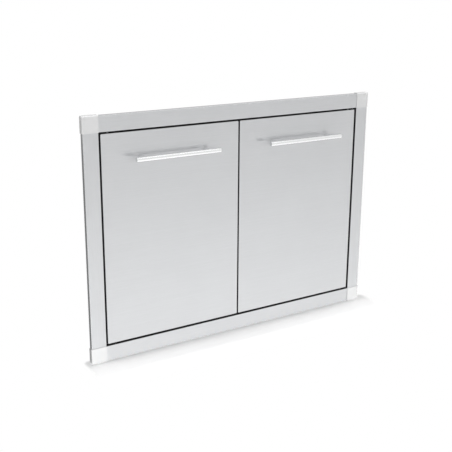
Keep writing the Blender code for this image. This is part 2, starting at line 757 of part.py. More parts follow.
def main():
    clear_scene()
    brushed = make_material("brushed_stainless", (0.62, 0.63, 0.65), 0.34, 1.0)
    smooth = make_material("smooth_stainless", (0.78, 0.78, 0.78), 0.22, 1.0)
    polished = make_material("handle_stainless", (0.72, 0.73, 0.74), 0.15, 1.0)
    sheet = make_material("mill_stainless", (0.55, 0.56, 0.57), 0.42, 1.0)
    zinc = make_material("zinc_plated_steel", (0.50, 0.51, 0.53), 0.40, 1.0)
    spring_steel = make_material("spring_steel", (0.42, 0.42, 0.43), 0.35, 1.0)
    rubber = make_material("black_rubber", (0.015, 0.015, 0.016), 0.75, 0.0)
    plastic = make_material("black_nylon", (0.03, 0.03, 0.032), 0.50, 0.0)
    ferrite = make_material("dark_ferrite", (0.06, 0.06, 0.065), 0.60, 0.0)
    build_frame(brushed, smooth)
    build_sleeve(sheet, rubber)
    build_stops(sheet, rubber, plastic, ferrite)
    build_bushes(plastic)
    for door, side in DOORS:
        build_door(door, side, (brushed, polished, rubber, zinc, spring_steel))


main()
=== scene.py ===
"""Looks for the stainless double access door of an outdoor kitchen.

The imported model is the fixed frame. This file gives its sheet metal, seals and hardware
their finishes, adds the fine surfaces that the plain solids lack and sets up the studio.
It is laid out as an add-on and run as a script. Lengths are in metres.
"""

import math

import bpy
import numpy as np
from mathutils import Euler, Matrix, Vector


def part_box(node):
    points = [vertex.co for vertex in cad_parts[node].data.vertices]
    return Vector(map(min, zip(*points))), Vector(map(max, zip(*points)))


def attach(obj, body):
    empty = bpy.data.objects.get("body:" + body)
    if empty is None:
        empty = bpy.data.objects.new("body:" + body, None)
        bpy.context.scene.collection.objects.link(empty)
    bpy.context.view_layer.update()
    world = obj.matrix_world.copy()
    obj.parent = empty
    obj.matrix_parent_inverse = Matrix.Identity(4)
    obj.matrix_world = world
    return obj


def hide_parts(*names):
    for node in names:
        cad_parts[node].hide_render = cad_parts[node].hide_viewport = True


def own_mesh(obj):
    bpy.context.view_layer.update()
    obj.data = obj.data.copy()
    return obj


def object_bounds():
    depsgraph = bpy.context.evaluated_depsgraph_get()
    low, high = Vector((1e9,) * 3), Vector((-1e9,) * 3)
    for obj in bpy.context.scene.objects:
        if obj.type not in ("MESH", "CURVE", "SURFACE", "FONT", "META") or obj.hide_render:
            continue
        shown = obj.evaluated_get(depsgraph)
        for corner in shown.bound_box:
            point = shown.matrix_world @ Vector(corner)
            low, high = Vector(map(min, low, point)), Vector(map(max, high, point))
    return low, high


bl_info = {
    "name": "Access Door Looks",
    "version": (1, 0, 0),
    "blender": (4, 5, 0),
    "location": "3D View > Sidebar > Access Door",
    "description": "Finishes, fine surfaces and a studio for a stainless double access door",
    "category": "Object",
}

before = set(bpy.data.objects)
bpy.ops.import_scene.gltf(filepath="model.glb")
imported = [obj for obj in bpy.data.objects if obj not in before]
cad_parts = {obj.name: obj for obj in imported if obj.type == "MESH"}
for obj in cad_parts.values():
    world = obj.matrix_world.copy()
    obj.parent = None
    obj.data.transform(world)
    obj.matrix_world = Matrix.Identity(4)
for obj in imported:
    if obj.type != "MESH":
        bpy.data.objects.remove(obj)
CAD_BOX = [list(corner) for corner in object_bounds()]

MM = 0.001
SIDES = ("left", "right")
HAND = {"left": -1, "right": 1}
ENDS = {"top": 1, "bottom": -1}

# Sizes of the pivots and handles that their boxes don't give
RUNNING = 0.3 * MM  # room round a pin that turns
PIN_RADIUS = 2.5 * MM
PIN_REACH = 8.0 * MM  # past the door's edge
PIN_CHAMFER = 0.6 * MM
PIN_COLLAR_STEP = 1.4 * MM  # wider than the pin
COLLAR_DROP = 2.2 * MM  # how far the lower collar stands past the door's edge
COLLAR_THICKNESS = 2.0 * MM
COLLAR_TOP = 252.6 * MM  # height of the upper collar's top
TAB_BEND = 4 * MM
BUSH_STEP = 1.0 * MM  # the flange is wider than the body
BUSH_FLANGE = 1.2 * MM
SPRING_WIRE = 0.4 * MM
SPRING_TURNS = 7.5
SCREW_BORE = 2.8 * MM
SCREW_BORE_DEPTH = 12.3 * MM

# Places of the fixings
STOP_SHEET = 1.5 * MM
FIXING_IN = 6 * MM  # from the ends of a catch or strike
BLOCK_RIVET_IN = 6 * MM  # from the middle of a block, away from the hinge edge
BLOCK_RIVET_UP = 6 * MM  # from its top and bottom
STOP_RIVET_IN = 30 * MM  # from the ends of a stop
STOP_RIVETS = 5

# Where the finish of the brushed sheet changes, and where shade is painted into it
FOLD = (0.1 * MM, 0.9 * MM)  # behind the front, from brushed face to folded side
GAP_WIDTH = (0.395, 0.400)  # folded sides nearer the middle than this lie in the gaps, where shade is painted
GAP_HEIGHT = (0.275, 0.280)
WORN_BORDER = 1.6 * MM
MATT_SHARE = 0.5  # of the brushed face, fitted to the photograph
RAIL_GAP_PAINTED_SHADE = 0.08  # painted shade: fitted tone of a rail's sides in the gaps, as a share of the sheet's
# painted shade: fitted tone of a door's sides in the gaps, as a share of the sheet's
DOOR_GAP_PAINTED_SHADE = 0.5

# The studio, in metres
FLOOR_REACH = 30.0
PAPER_START = 0.4  # the floor starts to turn white at this share of the paper edge
PAST_LEFT, PAST_RIGHT, BEHIND = 6.0, 2.5, 6.0  # how much faster it does so there
SOFT_BOXES = {  # size, place, aim, and whether the metal mirrors it
    "overhead_box": ((3.0, 0.22), (0, 0.06, 3.0), (0, 0.06, 0), False),
    "front_box": ((3.0, 1.2), (-0.6, -4.5, 0.6), (0, 0, 0), False),
    "strip": ((3.0, 0.25), (0, -0.9, 2.2), (0, 0, 0.2), True),
}
CARD = ((-2.9, -0.01), (-0.43, 3.0))  # opposite corners of the grey card on the floor: a painted dark reflection that only the metal shows
WALL = (-4, 7, 2.2)  # ends and top of the grey wall: a painted reflection that only the metal shows
WALL_BACK = 3


def span(node):
    """Lowest and highest corner of a node, as arrays."""
    low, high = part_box(node)
    return np.array(low), np.array(high)


# Settings that a user would change

def colour_setting(name, description, default):
    """A colour."""
    return bpy.props.FloatVectorProperty(
        name=name, description=description, default=default, subtype="COLOR", size=3, min=0, max=1
    )


def length_setting(name, description, default):
    """A length, in metres."""
    return bpy.props.FloatProperty(
        name=name, description=description, default=default, min=0, unit="LENGTH", subtype="DISTANCE"
    )


def share_setting(name, description, default):
    """A share from 0 to 1."""
    return bpy.props.FloatProperty(
        name=name, description=description, default=default, min=0, max=1, subtype="FACTOR"
    )


def angle_setting(name, description, degrees):
    """An angle, given in degrees."""
    return bpy.props.FloatProperty(
        name=name, description=description, default=math.radians(degrees), subtype="ANGLE"
    )


class FinishSettings(bpy.types.PropertyGroup):
    """Colours of the metals, rubber and plastic."""

    sheet: colour_setting("Brushed sheet", "Doors and rails", (0.585, 0.592, 0.602))
    caps: colour_setting("Corner caps", "Smooth caps over the corners", (0.72, 0.722, 0.724))
    handles: colour_setting("Handles", "Polished bars and posts", (0.80, 0.805, 0.81))
    mill: colour_setting("Mill sheet", "Sleeve, stops and door liners", (0.54, 0.545, 0.55))
    zinc: colour_setting("Zinc plate", "Pins, blocks, strikes and screws", (0.50, 0.515, 0.54))
    wire: colour_setting("Spring wire", "Coil springs of the top pins", (0.42, 0.42, 0.43))
    rubber: colour_setting("Rubber", "Seals and bumpers", (0.005, 0.005, 0.0055))
    nylon: colour_setting("Nylon", "Bushes and catch housings", (0.022, 0.022, 0.024))
    ferrite: colour_setting("Ferrite", "Catch magnets", (0.055, 0.055, 0.06))
    grain: share_setting("Grain", "How strongly the brushed grain shows", 0.5)


class SizeSettings(bpy.types.PropertyGroup):
    """Sizes of the fine surfaces."""

    bar_rounding: length_setting("Bar rounding", "Easing of the ends of the handle bars", 1.0 * MM)
    post_fillet: length_setting("Post fillet", "Where a post meets its bar", 0.5 * MM)
    screw_head: length_setting("Screw head", "Radius of the pan heads", 3.4 * MM)
    rivet_head: length_setting("Rivet head", "Radius of the blind rivets", 3.2 * MM)
    strike_rivet: length_setting("Strike rivet", "Radius of the rivets of the strikes", 2.2 * MM)
    bead: length_setting("Weld bead", "Radius of the seam welds", 1.0 * MM)
    ripple: length_setting("Weld ripple", "Pitch of the ripples in a seam weld", 1.6 * MM)


class StudioSettings(bpy.types.PropertyGroup):
    """Camera, floor and lamps."""

    heading: angle_setting("Camera heading", "Turn about the vertical, from straight ahead", -32.559)
    tilt: angle_setting("Camera tilt", "Down from the horizon", 16.404)
    roll: angle_setting("Camera roll", "About the view's own axis", 0.312)
    place: bpy.props.FloatVectorProperty(
        name="Camera place", description="Where the camera stands", size=3, subtype="TRANSLATION",
        unit="LENGTH", default=(-1.14609, -1.74604, 0.59585),
    )
    lens: bpy.props.FloatProperty(
        name="Lens", description="Focal length on a 36 mm sensor", default=65.83, unit="CAMERA"
    )
    floor: colour_setting("Floor", "Pale paper under the door", (0.79, 0.79, 0.79))
    paper_edge: length_setting("Paper edge", "How far from the foot the floor turns plain white", 0.105)
    # Painted reflection: the floor's glow below is seen only by mirrored rays, dimmer far off and brighter
    # than plain white round its middle
    far_painted_glow: share_setting("Far glow", "How bright the metal shows the floor far away", 0.80)
    pool: share_setting("Pool", "How much brighter only the metal shows the floor there; fitted", 0.79)
    painted_pool_place: bpy.props.FloatVectorProperty(
        name="Pool place", description="Middle of the brighter floor", size=2, unit="LENGTH",
        default=(-0.50, 0.60),
    )
    painted_pool_reach: length_setting("Pool reach", "Where the pool has fallen by half", 1.7)
    # Painted reflections: grey pieces that glow for the metal only, casting no shadow and giving no light
    card: share_setting("Grey card", "How bright the metal shows the card behind and to the left", 0.28)
    wall: share_setting("Grey wall", "How bright the metal shows the wall behind", 0.60)
    sky: share_setting("Soft light", "Strength of the light from all round", 0.42)
    overhead_box: bpy.props.FloatProperty(
        name="Overhead lamp", description="Power of the soft box straight above the door",
        default=98, min=0, unit="POWER",
    )
    front_box: bpy.props.FloatProperty(
        name="Front lamp", description="Power of the wide box far in front of the door",
        default=75, min=0, unit="POWER",
    )
    strip: bpy.props.FloatProperty(
        name="Strip lamp", description="Power of the narrow box that draws the highlights",
        default=4, min=0, unit="POWER",
    )


# Shader maths

class Field:
    """A value that varies over a surface; arithmetic on it adds Math nodes."""

    def __init__(self, finish, socket):
        self.finish = finish
        self.socket = socket

    def __add__(self, other):
        return self.finish.maths("ADD", self, other)

    def __sub__(self, other):
        return self.finish.maths("SUBTRACT", self, other)

    def __rsub__(self, other):
        return self.finish.maths("SUBTRACT", other, self)

    def __mul__(self, other):
        return self.finish.maths("MULTIPLY", self, other)

    def __truediv__(self, other):
        return self.finish.maths("DIVIDE", self, other)

    __radd__ = __add__
    __rmul__ = __mul__


class Finish:
    """The nodes of one material or world."""

    def __init__(self, name, owner=None):
        self.owner = owner or bpy.data.materials.new(name)
        self.owner.use_nodes = True
        self.tree = self.owner.node_tree
        self.tree.nodes.clear()

    def node(self, kind, settings=(), sockets=(), output=0):
        """Add a node: its settings first, then the values or links of its sockets."""
        made = self.tree.nodes.new(f"ShaderNode{kind}")
        for key, value in dict(settings).items():
            setattr(made, key, value)
        for key, value in dict(sockets).items():
            if isinstance(value, Field):
                self.tree.links.new(value.socket, made.inputs[key])
            else:
                made.inputs[key].default_value = value
        return Field(self, made.outputs[output]) if len(made.outputs) else made

    def maths(self, operation, *values):
        """One Math node."""
        return self.node("Math", {"operation": operation}, enumerate(values))

    def where(self):
        """Object coordinates, in metres."""
        return self.node("TexCoord", output="Object")

    def axis(self, number):
        """One object coordinate."""
        return self.node("SeparateXYZ", sockets={0: self.where()}, output=number)

    def noise(self, scale, detail=2.0, roughness=0.5):
        """Noise from 0 to 1 about 0.5, with a scale for each axis in cells per metre."""
        placed = self.node("Mapping", sockets={"Vector": self.where(), "Scale": scale})
        return self.node(
            "TexNoise", sockets={"Vector": placed, "Scale": 1, "Detail": detail, "Roughness": roughness}
        )

    def cells(self, scale):
        """The random grey of each cell of a Voronoi pattern."""
        placed = self.node("Mapping", sockets={"Vector": self.where(), "Scale": (scale,) * 3})
        spread = self.node("TexVoronoi", sockets={"Vector": placed, "Scale": 1}, output="Color")
        return self.node("SeparateColor", sockets={0: spread})

    def ease(self, value, low, high):
        """0 at low, 1 at high, smooth between them."""
        return self.node(
            "MapRange", {"interpolation_type": "SMOOTHSTEP"},
            {"Value": value, "From Min": low, "From Max": high},
        )

    def blend(self, share, first, second):
        """A colour between two, by a share from 0 to 1."""
        first, second = (end if isinstance(end, Field) else (*end, 1) for end in (first, second))
        return self.node("Mix", {"data_type": "RGBA"}, {0: share, 6: first, 7: second}, output=2)

    def relief(self, height, strength, distance):
        """A bump from a height field."""
        return self.node(
            "Bump", sockets={"Strength": strength, "Distance": distance, "Height": height}
        )

    def surface(self, sockets):
        """Finish the material with one Principled surface."""
        self.show(self.node("BsdfPrincipled", sockets=sockets))
        return self.owner

    def show(self, shader):
        """Link a shader to the output of the material or world."""
        kind = "OutputWorld" if isinstance(self.owner, bpy.types.World) else "OutputMaterial"
        self.node(kind, sockets={"Surface": shader})


def shade(colour, factor):
    """A colour made lighter or darker."""
    return tuple(min(channel * factor, 1) for channel in colour)


def edge_nearness(finish, low, high, reach):
    """1 at the borders of a flat upright piece, falling to 0 at a reach inside them."""
    nearest = None
    for number in (0, 2):
        place = finish.axis(number)
        for distance in (place - float(low[number]), float(high[number]) - place):
            nearest = distance if nearest is None else finish.maths("MINIMUM", nearest, distance)
    return 1 - finish.ease(nearest, 0.0, reach)


def brushed_steel(name, colour, grain, along, borders, gap_painted_shade):
    """Sheet with a straight grain: noise drawn out along one axis, at three scales.

    The borders are a little lighter. The folded sides in the gaps carry painted shade: a darker
    tone, given as a share of the sheet's. That tone and the matt share of the front are fitted
    to the photograph, and not known of the real sheet.
    The other folded sides only mirror.
    """
    finish = Finish(name)

    def drawn(across, length, detail):
        scale = [1 / across] * 3
        scale[along] = 1 / length
        return finish.noise(scale, detail)

    lines = drawn(0.35 * MM, 22 * MM, 3)
    bands = drawn(2.4 * MM, 160 * MM, 2)
    cloud = finish.noise((9, 9, 9), 3)
    tone = lines * 0.55 + bands * 0.25 + cloud * 0.20
    worn = edge_nearness(finish, *borders, WORN_BORDER)
    lightness = finish.ease(tone + worn * 0.12, 0.30, 0.70)
    swing = 0.07 * grain
    folded = finish.ease(finish.axis(1) - float(borders[0][1]), *FOLD)
    aside = finish.ease(finish.maths("ABSOLUTE", finish.axis(0)), *GAP_WIDTH)
    above = finish.ease(finish.maths("ABSOLUTE", finish.axis(2)), *GAP_HEIGHT)
    sheet = finish.blend(lightness, shade(colour, 1 - swing), shade(colour, 1 + swing))
    return finish.surface({
        # Painted shade: the folded sides in the gaps get a darker tone, a share of the sheet's
        "Base Color": finish.blend(folded * (1 - aside) * (1 - above), sheet, shade(colour, gap_painted_shade)),
        "Metallic": 1 - MATT_SHARE + folded * MATT_SHARE,
        "Roughness": 0.17 + (tone - 0.5) * (0.24 * grain),
        "Normal": finish.relief(lines, 0.10 * grain, 0.02 * MM),
    })


def satin_steel(name, colour):
    """Pressed caps: a fine even satin with a drawn sheet's waviness; the matt share is fitted."""
    finish = Finish(name)
    speckle = finish.noise((2600,) * 3, 2)
    cloud = finish.noise((45,) * 3, 2)
    tone = speckle * 0.5 + cloud * 0.5
    return finish.surface({
        "Base Color": finish.blend(tone, shade(colour, 0.975), shade(colour, 1.02)),
        "Metallic": 0.57,
        "Roughness": 0.20 + (tone - 0.5) * 0.08,
        "Normal": finish.relief(speckle, 0.05, 0.01 * MM),
    })


def polished_steel(name, colour, along):
    """Handles: bright, with hair-fine polishing lines round the bar."""
    finish = Finish(name)
    scale = [60.0] * 3
    scale[along] = 3800.0
    rings = finish.noise(scale, 2)
    cloud = finish.noise((120,) * 3, 2)
    return finish.surface({
        "Base Color": finish.blend(cloud, shade(colour, 0.97), shade(colour, 1.02)),
        "Metallic": 1.0,
        "Roughness": 0.15 + (rings - 0.5) * 0.05 + (cloud - 0.5) * 0.05,
        "Normal": finish.relief(rings, 0.03, 0.01 * MM),
    })


def mill_steel(name, colour, along):
    """Plain rolled sheet: dull, clouded, with faint rolling lines."""
    finish = Finish(name)
    scale = [900.0] * 3
    scale[along] = 12.0
    lines = finish.noise(scale, 2)
    cloud = finish.noise((16,) * 3, 4, 0.6)
    speckle = finish.noise((1800,) * 3, 2)
    tone = lines * 0.3 + cloud * 0.5 + speckle * 0.2
    return finish.surface({
        "Base Color": finish.blend(finish.ease(tone, 0.3, 0.7), shade(colour, 0.92), shade(colour, 1.05)),
        "Metallic": 1.0,
        "Roughness": 0.40 + (tone - 0.5) * 0.22,
        "Normal": finish.relief(speckle, 0.06, 0.02 * MM),
    })


def zinc_plate(name, colour):
    """Bright zinc: small crystals of unlike grey under a faint bluish film."""
    finish = Finish(name)
    crystals = finish.cells(420)
    cloud = finish.noise((150,) * 3, 3)
    tone = crystals * 0.6 + cloud * 0.4
    return finish.surface({
        "Base Color": finish.blend(tone, shade(colour, 0.88), shade(colour, 1.10)),
        "Metallic": 1.0,
        "Roughness": 0.36 + (tone - 0.5) * 0.2,
        "Normal": finish.relief(cloud, 0.08, 0.02 * MM),
    })


def drawn_wire(name, colour):
    """Spring wire: dark, oiled, with draw lines."""
    finish = Finish(name)
    cloud = finish.noise((700,) * 3, 3)
    return finish.surface({
        "Base Color": finish.blend(cloud, shade(colour, 0.8), shade(colour, 1.1)),
        "Metallic": 1.0,
        "Roughness": 0.28 + cloud * 0.14,
        "Normal": finish.relief(cloud, 0.1, 0.01 * MM),
    })


def matt_rubber(name, colour):
    """Extruded rubber: matt, with a fine grain and a trace of dust."""
    finish = Finish(name)
    grain = finish.noise((2200,) * 3, 3)
    dust = finish.ease(finish.noise((260,) * 3, 4, 0.65), 0.56, 0.78)
    return finish.surface({
        "Base Color": finish.blend(dust, colour, shade(colour, 2.2)),
        "Roughness": 0.70 + grain * 0.16,
        "Specular IOR Level": 0.18,
        "Normal": finish.relief(grain, 0.25, 0.03 * MM),
    })


def moulded_nylon(name, colour):
    """Moulded plastic: a spark-eroded texture with smoother, paler rubbed spots."""
    finish = Finish(name)
    texture = finish.noise((3000,) * 3, 2)
    rubbed = finish.ease(finish.noise((180,) * 3, 2), 0.52, 0.75)
    return finish.surface({
        "Base Color": finish.blend(rubbed, colour, shade(colour, 1.7)),
        "Roughness": 0.52 + texture * 0.12 - rubbed * 0.12,
        "Normal": finish.relief(texture, 0.2, 0.02 * MM),
    })


def sintered_ferrite(name, colour):
    """Pressed and fired magnet: dark grit with lighter grains."""
    finish = Finish(name)
    grit = finish.cells(2400)
    cloud = finish.noise((300,) * 3, 3)
    return finish.surface({
        "Base Color": finish.blend(finish.ease(grit, 0.55, 0.98), colour, shade(colour, 2.4)),
        "Metallic": 0.3,
        "Roughness": 0.55 + cloud * 0.2,
        "Normal": finish.relief(grit, 0.2, 0.03 * MM),
    })


def dress(nodes, material):
    """Give CAD nodes a material."""
    for name in nodes:
        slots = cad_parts[name].material_slots
        if len(slots) == 0:
            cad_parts[name].data.materials.append(material)
        for holder in slots:
            holder.material = material


# Surfaces

def across_axis(axis):
    """Two unit vectors square to an axis and to each other, which turn right-handed about it."""
    helper = np.array((0.0, 0.0, 1.0)) if abs(axis[2]) < 0.9 else np.array((1.0, 0.0, 0.0))
    first = np.cross(helper, axis)
    first = first / np.linalg.norm(first)
    return first, np.cross(axis, first)


def skin(rings, poles):
    """Points and faces of a stack of closed rings, (steps, sides, 3), closed at each end by a pole."""
    steps, sides = rings.shape[:2]
    here = np.arange(steps * sides).reshape(steps, sides)
    after = np.roll(here, -1, axis=1)
    walls = np.stack((here[:-1], after[:-1], after[1:], here[1:]), axis=-1).reshape(-1, 4)
    first = np.stack((after[0], here[0], np.full(sides, steps * sides)), axis=-1)
    last = np.stack((here[-1], after[-1], np.full(sides, steps * sides + 1)), axis=-1)
    points = np.concatenate((rings.reshape(-1, 3), np.asarray(poles, float).reshape(2, 3)))
    return points, [*walls.tolist(), *first.tolist(), *last.tolist()]


def eased(corners, steps=6):
    """A profile of (radius, height, easing) corners, each rounded over its easing.

    The round is the parabola that leaves one side an easing before the corner and joins
    the next an easing after it: (1-t)^2 A + 2t(1-t) C + t^2 B.
    """
    corners = np.asarray(corners, float)
    made = [corners[:1, :2]]
    t = np.linspace(0, 1, steps + 1)[:, None]
    for before, corner, after in zip(corners, corners[1:], corners[2:]):
        spot, ease = corner[:2], corner[2]
        if ease == 0:
            made.append(spot[None])
            continue
        leave, join = (
            spot + (other[:2] - spot) / np.linalg.norm(other[:2] - spot) * ease for other in (before, after)
        )
        made.append((1 - t) ** 2 * leave + 2 * t * (1 - t) * spot + t ** 2 * join)
    made.append(corners[-1:, :2])
    return np.concatenate(made)


def turned(corners, base, axis, sides=64, shape=None):
    """A body of revolution, whose profile runs up its outer side from pole to pole.

    P(t, a) = base + height(t) axis + radius(t) (cos a first + sin a second). A shape may
    change the heights: it is given the radius, the angle and the height of each point.
    """
    axis = np.asarray(axis, float)
    first, second = across_axis(axis)
    profile = eased(corners)
    radius = profile[1:-1, 0, None]
    angle = np.linspace(0, 2 * np.pi, sides, endpoint=False)[None]
    height = np.broadcast_to(profile[1:-1, 1, None], (len(radius), sides))
    ends = profile[[0, -1], 1]
    if shape:
        height = shape(radius, angle, height)
        ends = shape(np.zeros(2), np.zeros(2), ends)
    rings = (
        np.asarray(base, float) + height[..., None] * axis
        + (radius * np.cos(angle))[..., None] * first + (radius * np.sin(angle))[..., None] * second
    )
    return skin(rings, np.asarray(base, float) + ends[:, None] * axis)


def swept(path, radii, side, sides=24):
    """A round bar along a path, in rings square to it.

    P(s, a) = path(s) + radius(s) (cos a side + sin a up(s)), where side is one unit vector
    for each point, square to the path, and up is the path's direction crossed with it.
    """
    ahead = np.gradient(path, axis=0)
    still = np.linalg.norm(ahead, axis=1) < 1e-9
    ahead[still] = ahead[np.flatnonzero(~still)[0]]
    ahead = ahead / np.linalg.norm(ahead, axis=1)[:, None]
    up = np.cross(ahead, side)
    angle = np.linspace(0, 2 * np.pi, sides, endpoint=False)[None, :, None]
    ring = np.cos(angle) * side[:, None] + np.sin(angle) * up[:, None]
    return skin(path[:, None] + np.asarray(radii)[:, None, None] * ring, path[[0, -1]])


def add_piece(name, shells, material, body, replaced=()):
    """Join closed shells into one named piece that rides on a body."""
    points, faces, start = [], [], 0
    for shell_points, shell_faces in shells:
        points.append(shell_points)
        faces += [[corner + start for corner in face] for face in shell_faces]
        start += len(shell_points)
    mesh = bpy.data.meshes.new(name)
    mesh.from_pydata(np.concatenate(points).tolist(), [], faces)
    mesh.shade_smooth()
    mesh.set_sharp_from_angle(angle=math.radians(38))
    mesh.materials.append(material)
    piece = bpy.data.objects.new(name, mesh)
    bpy.context.scene.collection.objects.link(piece)
    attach(piece, body)
    if replaced:
        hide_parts(*replaced)
    return piece


def pull_bar(node, rounding):
    """The bar of a handle, turned about X, its ends rounded."""
    low, high = span(node)
    middle, half, radius = (low + high) / 2, (high[0] - low[0]) / 2, (high[2] - low[2]) / 2
    corners = [(0, -half, 0), (radius, -half, rounding), (radius, half, rounding), (0, half, 0)]
    return turned(corners, middle, (1, 0, 0), sides=96)


def pull_post(node, bar_node, fillet):
    """A post of a handle, turned about Y, bored for its screw and coped to the bar.

    Its height is the lesser of the profile's and of the saddle, standoff - sqrt(R^2 - z^2),
    and a fillet widens it over its last stretch to meet the bar in a quarter round.
    """
    low, high = span(node)
    bar_low, bar_high = span(bar_node)
    bar_radius = (bar_high[2] - bar_low[2]) / 2
    standoff = high[1] - (bar_low[1] + bar_high[1]) / 2
    radius = (high[0] - low[0]) / 2
    base = (low + high) / 2
    base[1] = high[1]

    def saddle(r, angle, height):
        across = np.minimum(np.abs(r * np.sin(angle)), bar_radius)
        return np.minimum(height, standoff - np.sqrt(bar_radius ** 2 - across ** 2) * 0.995)

    neck = standoff - bar_radius
    t = np.linspace(0, np.pi / 2, 7)
    flare = [(radius + fillet * (1 - np.cos(a)), neck + fillet * (np.sin(a) - 1) + 0.1 * MM, 0) for a in t]
    corners = [
        (0, SCREW_BORE_DEPTH, 0), (SCREW_BORE, SCREW_BORE_DEPTH, 0), (SCREW_BORE, 0, 0),
        (radius, 0, 0.3 * MM), *flare,
        (radius + fillet, standoff, 0), (radius * 0.66, standoff, 0), (radius * 0.33, standoff, 0),
        (0, standoff, 0),
    ]
    return turned(corners, base, (0, -1, 0), shape=saddle)


def flanged_bush(node, up):
    """A nylon bush turned about Z: a bored sleeve with a flange on the side of the opening.

    Its bore stays open, so the profile is a closed loop: P(t, a) = (r(t) cos a, r(t) sin a, z(t)).
    """
    low, high = span(node)
    middle, flange = (low + high) / 2, (high[0] - low[0]) / 2
    tip, root = (high[2], low[2]) if up > 0 else (low[2], high[2])
    body = flange - BUSH_STEP
    ease = 0.25 * MM
    loop = eased([
        (PIN_RADIUS + RUNNING, root, 0), (flange - ease, root, 0), (flange, root, ease),
        (flange, root + up * BUSH_FLANGE, ease), (body, root + up * BUSH_FLANGE, ease / 2),
        (body, tip, ease), (PIN_RADIUS + RUNNING, tip, ease), (PIN_RADIUS + RUNNING, root, 0),
    ])[:-1]
    loop = loop[::up]
    angle = np.linspace(0, 2 * np.pi, 48, endpoint=False)
    rings = np.stack((
        middle[0] + loop[:, 0, None] * np.cos(angle), middle[1] + loop[:, 0, None] * np.sin(angle),
        np.broadcast_to(loop[:, 1, None], (len(loop), len(angle))),
    ), axis=-1)
    here = np.arange(rings.shape[0] * rings.shape[1]).reshape(rings.shape[:2])
    above, beside = np.roll(here, -1, axis=0), np.roll(here, -1, axis=1)
    walls = np.stack((here, beside, np.roll(above, -1, axis=1), above), axis=-1)
    return rings.reshape(-1, 3), walls.reshape(-1, 4).tolist()


def shouldered_pin(node):
    """The fixed lower pin, turned about Z, with the collar that the door rests on."""
    low, high = span(node)
    middle, collar = (low + high) / 2, (high[0] - low[0]) / 2
    top = high[2] - low[2]
    shoulder = PIN_REACH - COLLAR_DROP
    ease = 0.3 * MM
    corners = [
        (0, 0, 0), (PIN_RADIUS, 0, PIN_CHAMFER), (PIN_RADIUS, shoulder, 0.1 * MM), (collar, shoulder, ease),
        (collar, PIN_REACH - RUNNING, ease), (PIN_RADIUS, PIN_REACH - RUNNING, 0.1 * MM),
        (PIN_RADIUS, top, ease), (0, top, 0),
    ]
    return turned(corners, (middle[0], middle[1], low[2]), (0, 0, 1))


def sprung_pin(node):
    """The sliding upper pin: a straight shank with a collar, bent back into a finger tab.

    The path drops along Z, turns a quarter circle of the bend's radius and runs back along Y.
    """
    low, high = span(node)
    x, y = (low[0] + high[0]) / 2, low[1] + PIN_RADIUS + PIN_COLLAR_STEP
    tab = low[2] + PIN_RADIUS
    collar_top, collar_low = COLLAR_TOP, COLLAR_TOP - COLLAR_THICKNESS
    big, ease = PIN_RADIUS + PIN_COLLAR_STEP, 0.2 * MM
    t = np.linspace(0, np.pi / 2, 13)
    tip = np.stack((PIN_RADIUS - PIN_CHAMFER * (1 - np.sin(t)), PIN_CHAMFER * (1 - np.cos(t))), axis=-1)
    down = [
        *((high[2] - drop, radius) for radius, drop in tip),
        (collar_top, PIN_RADIUS), (collar_top - ease * 0.01, big - ease), (collar_top - ease, big),
        (collar_low + ease, big), (collar_low + ease * 0.01, big - ease), (collar_low, PIN_RADIUS),
    ]
    straight = np.array([(0, z) for z, _ in down])
    bend = np.stack((TAB_BEND * (1 - np.cos(t)), tab + TAB_BEND * (1 - np.sin(t))), axis=-1)
    back = np.stack((high[1] - y - tip[::-1, 1], np.full(len(t), tab)), axis=-1)
    line = np.concatenate((straight, bend, back))
    radii = np.concatenate(([radius for _, radius in down], np.full(len(t), PIN_RADIUS), tip[::-1, 0]))
    path = np.column_stack((np.full(len(line), x), y + line[:, 0], line[:, 1]))
    side = np.tile((1.0, 0.0, 0.0), (len(path), 1))
    return swept(path, radii, side, sides=48)


def wound_spring(node):
    """Round wire wound on a cylinder, with a closed turn at each end.

    Its middle line is (R cos a, R sin a, z(a)), where z rises one wire for the first and the
    last turn and at an even pitch between them.
    """
    low, high = span(node)
    middle = (low + high) / 2
    wire = SPRING_WIRE
    radius = (high[0] - low[0]) / 2 - wire
    turns = np.linspace(0, SPRING_TURNS, int(SPRING_TURNS * 32) + 1)
    foot, head = low[2] + wire, high[2] - wire
    closed = 2.2 * wire
    rise = np.interp(
        turns, (0, 1, SPRING_TURNS - 1, SPRING_TURNS), (foot, foot + closed, head - closed, head)
    )
    angle = 2 * np.pi * turns
    path = np.column_stack(
        (middle[0] + radius * np.cos(angle), middle[1] + radius * np.sin(angle), rise)
    )
    out = np.column_stack((np.cos(angle), np.sin(angle), np.zeros(len(angle))))
    return swept(path, np.full(len(path), wire), out, sides=12)


def rubber_buffer(node):
    """A soft buffer turned about Y: a foot, a drawn-in waist and a domed tip."""
    low, high = span(node)
    middle, radius = (low + high) / 2, (high[0] - low[0]) / 2
    length = high[1] - low[1]
    corners = [
        (0, 0, 0), (radius, 0, 0.2 * MM), (radius, length * 0.28, 0.4 * MM),
        (radius * 0.86, length * 0.42, 0.4 * MM), (radius * 0.9, length * 0.8, radius * 0.18),
        (radius * 0.55, length * 0.985, radius * 0.2), (0, length, 0),
    ]
    return turned(corners, (middle[0], high[1], middle[2]), (0, -1, 0), sides=48)


